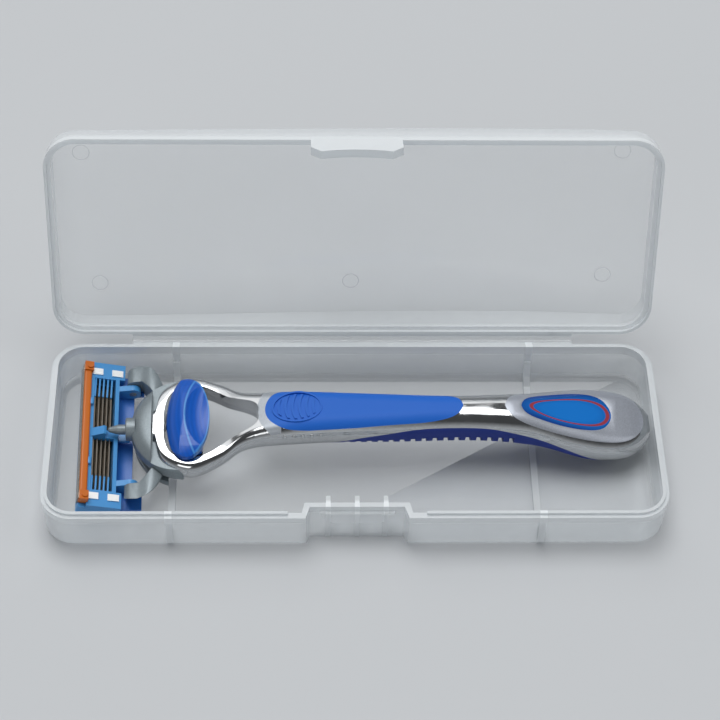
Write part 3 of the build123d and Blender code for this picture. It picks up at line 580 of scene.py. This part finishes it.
def dress_copy(node, name, material, edge_mm=0.0, smooth_deg=32):
    """Merged and smoothed copy of a CAD piece, with its hard edges softened a little."""
    source = frame["nodes"][node]
    body = source["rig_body"]
    piece = bpy.data.objects.new(name, source.data.copy())
    bpy.context.scene.collection.objects.link(piece)
    edit_all(piece)
    bpy.ops.mesh.remove_doubles(threshold=WELD * MM)
    if edge_mm:
        bpy.ops.mesh.dissolve_limited(angle_limit=FLAT_ANGLE)
    bpy.ops.object.mode_set(mode="OBJECT")
    bpy.ops.mesh.customdata_custom_splitnormals_clear()
    if edge_mm:
        apply_modifier(piece, "BEVEL", width=edge_mm * MM, segments=2, limit_method="ANGLE",
                       angle_limit=EDGE_ANGLE, use_clamp_overlap=True)
    smooth(piece, smooth_deg)
    settle(piece, name, material, body)
    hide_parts(node)
    return piece


class SHAVERBOX_OT_box(bpy.types.Operator):
    """Dresses the tray and the lid in natural polypropylene."""

    bl_idname = "shaverbox.box"
    bl_label = "Box"

    def execute(self, context):
        colours = context.scene.shaver_colours
        tray = translucent_polypropylene("Natural polypropylene, tray", colours, (0, 0, 0), 0.0,
                                         RIM_Z * MM, RIB_X * MM)
        lid = translucent_polypropylene("Natural polypropylene, lid", colours,
                                        (0, HINGE_Y * MM, HINGE_Z * MM), -(LID_ANGLE + math.pi),
                                        (HINGE_Z - RIM_Z) * MM)
        dress_copy("base_tray", "tray_moulding", tray)
        dress_copy("lid", "lid_moulding", lid)
        return {"FINISHED"}


class SHAVERBOX_OT_hinge_film(bpy.types.Operator):
    """Makes the film of the living hinge, which bends between the tray and the lid."""

    bl_idname = "shaverbox.hinge_film"
    bl_label = "Hinge film"

    def execute(self, context):
        sizes = context.scene.shaver_sizes
        # The first leaf lies on the tray's strip and the last one on the lid's
        rows = [(29.0, 12.44), (29.45, 12.46), (29.72, 12.52),
                (29.9, 12.66), (30.02, 12.92), (30.16, 13.4)]
        deselect()
        bpy.ops.mesh.primitive_plane_add(size=1)
        film = bpy.context.object
        edit_all(film)
        bpy.ops.transform.resize(value=(sizes.film_length, (rows[1][0] - rows[0][0]) * MM, 1))
        middle = (rows[0][0] + rows[1][0]) / 2
        bpy.ops.transform.translate(value=(0, middle * MM, rows[0][1] * MM))
        bpy.ops.object.mode_set(mode="OBJECT")
        edge_y = max(v.co.y for v in film.data.vertices)
        for before, after in zip(rows[1:], rows[2:]):
            edit_all(film)
            bpy.ops.mesh.select_all(action="DESELECT")
            bpy.ops.object.mode_set(mode="OBJECT")
            for edge in film.data.edges:
                ends = [film.data.vertices[i].co for i in edge.vertices]
                edge.select = all(abs(c.y - edge_y) < 1e-6 for c in ends)
            bpy.ops.object.mode_set(mode="EDIT")
            bpy.ops.mesh.select_mode(type="EDGE")
            step = (0, (after[0] - before[0]) * MM, (after[1] - before[1]) * MM)
            bpy.ops.mesh.extrude_region_move(TRANSFORM_OT_translate={"value": step})
            bpy.ops.object.mode_set(mode="OBJECT")
            edge_y = max(v.co.y for v in film.data.vertices)
        apply_modifier(film, "SOLIDIFY", thickness=sizes.film_thickness, offset=0)
        plastic = translucent_polypropylene("Natural polypropylene, hinge film",
                                            context.scene.shaver_colours, (0, 0, 0), 0.0, 1.0)
        smooth(film, 50)
        settle(film, "hinge_film", plastic, None)
        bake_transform(film)
        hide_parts("hinge_web")
        return {"FINISHED"}


class SHAVERBOX_OT_mould_marks(bpy.types.Operator):
    """Makes the rings that ejector pins leave in the lid and the two gate marks on its strip."""

    bl_idname = "shaverbox.mould_marks"
    bl_label = "Mould marks"

    def execute(self, context):
        plastic = bpy.data.materials["Natural polypropylene, lid"]
        self.ejector_witnesses(context, plastic)
        self.gate_marks(context, plastic)
        return {"FINISHED"}

    def ejector_witnesses(self, context, plastic):
        """Five fine rings on the lid's inside, left by the ejector pins of the tool."""
        sizes = context.scene.shaver_sizes
        deselect()
        bpy.ops.mesh.primitive_torus_add(major_radius=sizes.witness_radius,
                                         minor_radius=sizes.witness_height / 2,
                                         major_segments=40, minor_segments=8)
        master = bpy.context.object
        choose(master)
        bpy.ops.object.shade_smooth()
        lid = bpy.data.objects["lid_moulding"]
        context.view_layer.update()
        outward = (on_open_lid(0, 0, 30) - on_open_lid(0, 0, 20)).normalized()
        inside, raised = 15, 0.03 * MM
        places = [(-69.5, -21.5), (68.5, -22.0), (-66.5, 16.5), (-0.6, 17.0), (66.0, 14.5)]
        for number, (x, y) in enumerate(places, 1):
            spot, normal, turn = find_skin(lid, on_open_lid(x, y, inside), outward)
            ring = set_down(master, spot + normal * raised, turn)
            settle(ring, f"ejector_witness_{number}", plastic, "lid")
        bpy.data.objects.remove(master)

    def gate_marks(self, context, plastic):
        """Two small pale blocks on the hinge strip, where the plastic entered the tool."""
        width = context.scene.shaver_sizes.gate_width
        gate_y, gate_z = 28.3, 13.35
        for number, x in enumerate((-52.3, 52.8), 1):
            mark = rounded_block((width, 0.9 * MM, 0.7 * MM), 0.2 * MM)
            mark.rotation_euler = (-LID_ANGLE, 0, 0)
            mark.location = on_open_lid(x, gate_y, gate_z)
            settle(mark, f"gate_mark_{number}", plastic, "lid")


class SHAVERBOX_OT_handle(bpy.types.Operator):
    """Dresses the plated handle, its grips and the inlay in its tail."""

    bl_idname = "shaverbox.handle"
    bl_label = "Handle"

    def execute(self, context):
        colours = context.scene.shaver_colours
        chrome = polished_chrome()
        front = soft_elastomer("Elastomer, moulded over the stem", colours.elastomer)
        under = soft_elastomer("Elastomer, darker, under the stem", colours.under_elastomer)
        margin = metallic_plastic("Metallic polystyrene margin", linear("#A9AFB6"), 0.38)
        silver = metallic_plastic("Metallic ABS bezel", linear("#A5AAB4"), 0.34)
        dress_copy("handle_frame", "plated_handle", chrome, smooth_deg=40)
        dress_copy("front_grip", "thumb_grip", front, smooth_deg=40)
        dress_copy("grip_surround", "thumb_grip_margin", margin, smooth_deg=40)
        dress_copy("rear_grip", "finger_grip", under, smooth_deg=40)
        dress_copy("tail_bezel", "tail_inlay_bezel", silver, edge_mm=0.3,
                   smooth_deg=40)
        dress_copy("tail_lens", "tail_inlay_lens", domed_lens(colours), smooth_deg=40)
        self.side_studs(context, chrome)
        return {"FINISHED"}

    def side_studs(self, context, chrome):
        """Row of five small studs on the near shoulder of the plated stem."""
        radius = context.scene.shaver_sizes.stud_radius
        handle = bpy.data.objects["plated_handle"]
        context.view_layer.update()
        inward = (in_razor(0, 1, 0) - in_razor(0, 0, 0)).normalized()
        deselect()
        bpy.ops.mesh.primitive_uv_sphere_add(segments=20, ring_count=12, radius=radius)
        master = bpy.context.object
        edit_all(master)
        bpy.ops.transform.resize(value=(0.55, 1, 0.45))
        bpy.ops.object.mode_set(mode="OBJECT")
        choose(master)
        bpy.ops.object.shade_smooth()
        first_x, pitch, outside_y, height = -17.9, 2.27, -20, 16.6
        for number in range(5):
            start = in_razor(first_x + pitch * number, outside_y, height)
            spot, _, turn = find_skin(handle, start, inward)
            stud = set_down(master, spot, turn)
            settle(stud, f"stem_stud_{number + 1}", chrome, "handle")
        bpy.data.objects.remove(master)


class SHAVERBOX_OT_head(bpy.types.Operator):
    """Dresses the razor's head: bun, nose, button, pusher, plunger, springs and yoke."""

    bl_idname = "shaverbox.head"
    bl_label = "Head and button"

    def execute(self, context):
        colours = context.scene.shaver_colours
        grey = metallic_plastic("Metallic ABS, satin", tuple(colours.satin_grey), 0.40)
        blue = turned_button(colours)
        dark = moulded_plastic("Polyacetal, black", linear("#20242B"), 0.45)
        wire = ground_steel("Spring wire, drawn", linear("#8C8C8C"), 0.30)
        dress_copy("head_shell", "head_bun", grey, smooth_deg=40)
        dress_copy("docking_nose", "dock_nose", grey)
        dress_copy("yoke", "cartridge_fork", grey, edge_mm=0.3, smooth_deg=38)
        dress_copy("plunger", "return_plunger", grey, smooth_deg=38)
        dress_copy("plunger_bush", "return_plunger_collar", grey)
        dress_copy("eject_button", "release_button", blue, edge_mm=0.2, smooth_deg=30)
        dress_copy("ejector_slider", "release_pusher", dark)
        dress_copy("button_spring", "release_spring", wire, smooth_deg=60)
        dress_copy("plunger_spring", "return_spring", wire, smooth_deg=60)
        return {"FINISHED"}


class SHAVERBOX_OT_cartridge(bpy.types.Operator):
    """Dresses the cartridge: frame, guard, blades, clips and trimmer."""

    bl_idname = "shaverbox.cartridge"
    bl_label = "Cartridge"

    def execute(self, context):
        colours = context.scene.shaver_colours
        light = moulded_plastic("Polystyrene cartridge frame", tuple(colours.cartridge), 0.34)
        deep = moulded_plastic("Polystyrene guard, deeper blue", linear("#2468BE"), 0.36)
        fins = moulded_plastic("Elastomer guard fins", linear("#1D55B4"), 0.5)
        steel = ground_steel("Blade steel, ground", linear("#A69E94"), 0.26)
        carrier = ground_steel("Blade carrier, stamped", linear("#8F887E"), 0.34)
        clip = ground_steel("Aluminium clip, bright rolled", linear("#F4F5F5"), 0.42)
        orange = moulded_plastic("Polystyrene trimmer holder", tuple(colours.trimmer), 0.32)
        strip = moulded_plastic("Water-soluble strip, waxy", linear("#CFE0E6"), 0.55)
        dress_copy("cartridge_frame", "cartridge_body", light)
        dress_copy("guard_base", "guard_flange", deep)
        dress_copy("guard_fins", "guard_fin_pad", fins)
        dress_copy("far_clip", "clip_far", clip)
        dress_copy("near_clip", "clip_near", clip)
        dress_copy("trimmer_holder", "trimmer_bar", orange)
        dress_copy("trimmer_blade", "trimmer_edge", steel)
        dress_copy("lubricating_strip", "soap_strip", strip)
        for number in range(1, 6):
            dress_copy(f"blade_{number}", f"cutting_blade_{number}", steel)
            dress_copy(f"blade_support_{number}", f"blade_carrier_{number}", carrier)
        self.holder_tabs(light)
        self.blade_combs(light)
        return {"FINISHED"}

    def blade_combs(self, light):
        """Fingers of the frame that lie over the ends of the five blade carriers."""
        first_u, pitch, depth = -2.0, 1.05, -0.45
        for side, start, end in (("far", 11.4, 17.2), ("near", -17.2, -12.6)):
            master = rounded_block((0.50 * MM, (end - start) * MM, 0.46 * MM), 0.14 * MM)
            smooth(master, 40)
            for number in range(5):
                place = on_cartridge(first_u + pitch * number, (start + end) / 2, depth)
                finger = set_down(master, place, CARTRIDGE_TURN)
                settle(finger, f"{side}_comb_finger_{number + 1}", light, "cartridge")
            bpy.data.objects.remove(master)

    def holder_tabs(self, light):
        """Two small tabs of the frame that grip the edge of the trimmer holder."""
        edge_u, depth = -2.95, 0.3
        for number, v in enumerate((9.2, -8.9), 1):
            tab = rounded_block((0.9 * MM, 2.0 * MM, 1.2 * MM), 0.2 * MM)
            tab.rotation_euler = CARTRIDGE_TURN
            tab.location = on_cartridge(edge_u, v, depth)
            smooth(tab, 40)
            settle(tab, f"holder_tab_{number}", light, "cartridge")


class SHAVERBOX_OT_stage(bpy.types.Operator):
    """Sets the pale floor, the soft lights and the camera at the photograph's angle."""

    bl_idname = "shaverbox.stage"
    bl_label = "Stage"

    def execute(self, context):
        self.add_floor(context)
        self.add_lamps(context)
        self.add_room(context)
        self.add_camera(context)
        context.scene.view_settings.view_transform = "Standard"
        return {"FINISHED"}

    def add_floor(self, context):
        """Pale paper that runs far beyond the picture."""
        paper, _, shader = new_material("Paper sweep, pale")
        shader.inputs["Base Color"].default_value = (*context.scene.shaver_colours.floor, 1)
        shader.inputs["Roughness"].default_value = 0.7
        deselect()
        bpy.ops.mesh.primitive_plane_add(size=6)
        floor = bpy.context.object
        floor.name = "studio_floor"
        floor.data.materials.append(paper)

    def add_lamps(self, context):
        """Three soft boxes, and one very broad light overhead."""
        lamps = [
            ("back_softbox", (-0.25, 0.75, 0.85), 1.00, 2.4),
            ("fill_softbox", (0.70, -0.15, 0.80), 0.70, 1.3),
            ("front_softbox", (-0.45, -0.80, 0.70), 0.60, 1.3),
        ]
        for name, place, size, power in lamps:
            data = bpy.data.lights.new(name, "AREA")
            data.energy = power
            data.shape = "RECTANGLE"
            data.size = size
            data.size_y = size * 0.6
            lamp = bpy.data.objects.new(name, data)
            lamp.location = place
            lamp.visible_camera = False
            lamp.rotation_euler = aimed_from(place)
            context.scene.collection.objects.link(lamp)
        # Even light, which reaches the far floor as well as the near one
        data = bpy.data.lights.new("overhead_light", "SUN")
        data.energy = 1.7
        data.angle = math.radians(41)
        lamp = bpy.data.objects.new("overhead_light", data)
        lamp.rotation_euler = aimed_from((-0.08, 0.22, 1.05))
        context.scene.collection.objects.link(lamp)

    def add_room(self, context):
        """Pale walls under a darker ceiling, which the chrome mirrors."""
        world = bpy.data.worlds.new("Studio room")
        world.use_nodes = True
        tree = world.node_tree
        back = next(n for n in tree.nodes if n.type == "BACKGROUND")
        sky = add_node(tree, "ShaderNodeTexCoord")
        axes = add_node(tree, "ShaderNodeSeparateXYZ", {"Vector": sky.outputs["Generated"]})
        fade = add_node(tree, "ShaderNodeMapRange", {"Value": axes.outputs["Z"]},
                        in_From_Min=0.05, in_From_Max=0.55, in_To_Min=0.62, in_To_Max=0.10)
        # The eye itself sees a pale room behind the floor
        ray = add_node(tree, "ShaderNodeLightPath")
        seen = add_node(tree, "ShaderNodeMath", {0: ray.outputs["Is Camera Ray"]},
                        operation="MULTIPLY", in_1=0.58)
        level = add_node(tree, "ShaderNodeMath", {0: fade.outputs["Result"], 1: seen.outputs["Value"]},
                         operation="MAXIMUM")
        tree.links.new(level.outputs["Value"], back.inputs["Strength"])
        back.inputs["Color"].default_value = (*linear("#E2E5E8"), 1)
        context.scene.world = world

    def add_camera(self, context):
        """Camera fitted to the box's straight edges in the photograph."""
        elevation, heading, roll = math.radians(50.015), math.radians(2.429), math.radians(1.853)
        ahead = Vector((math.sin(heading) * math.cos(elevation),
                        math.cos(heading) * math.cos(elevation), -math.sin(elevation)))
        side = Vector((math.cos(heading), -math.sin(heading), 0))
        above = side.cross(ahead)
        right = math.cos(roll) * side + math.sin(roll) * above
        top = -math.sin(roll) * side + math.cos(roll) * above
        data = bpy.data.cameras.new("photo_camera")
        data.sensor_width = 36.0
        data.lens = 106.44
        data.clip_start, data.clip_end = 0.01, 20
        camera = bpy.data.objects.new("photo_camera", data)
        context.scene.collection.objects.link(camera)
        place = Matrix((right, top, -ahead)).transposed().to_4x4()
        place.translation = Vector(CAMERA_PLACE) * MM
        camera.matrix_world = place
        context.scene.camera = camera


STEPS = (
    SHAVERBOX_OT_box,
    SHAVERBOX_OT_hinge_film,
    SHAVERBOX_OT_mould_marks,
    SHAVERBOX_OT_handle,
    SHAVERBOX_OT_head,
    SHAVERBOX_OT_cartridge,
    SHAVERBOX_OT_stage,
)


class SHAVERBOX_PT_panel(bpy.types.Panel):
    """Lists the sizes, the colours and the pieces."""

    bl_idname = "SHAVERBOX_PT_panel"
    bl_label = "Shaver Box"
    bl_space_type = "VIEW_3D"
    bl_region_type = "UI"
    bl_category = "Shaver Box"

    def draw(self, context):
        layout = self.layout
        for group in (context.scene.shaver_sizes, context.scene.shaver_colours):
            box = layout.box()
            for name in group.bl_rna.properties.keys():
                if name not in {"rna_type", "name"}:
                    box.prop(group, name)
        for step in STEPS:
            layout.operator(step.bl_idname)


CLASSES = (ShaverBoxSizes, ShaverBoxColours, *STEPS, SHAVERBOX_PT_panel)


def register():
    for kind in CLASSES:
        bpy.utils.register_class(kind)
    bpy.types.Scene.shaver_sizes = bpy.props.PointerProperty(type=ShaverBoxSizes)
    bpy.types.Scene.shaver_colours = bpy.props.PointerProperty(type=ShaverBoxColours)


def unregister():
    del bpy.types.Scene.shaver_colours
    del bpy.types.Scene.shaver_sizes
    for kind in reversed(CLASSES):
        bpy.utils.unregister_class(kind)


def main():
    register()
    deselect()
    bpy.ops.shaverbox.box()
    bpy.ops.shaverbox.hinge_film()
    bpy.ops.shaverbox.mould_marks()
    bpy.ops.shaverbox.handle()
    bpy.ops.shaverbox.head()
    bpy.ops.shaverbox.cartridge()
    bpy.ops.shaverbox.stage()
    deselect()


if __name__ == "__main__":
    main()
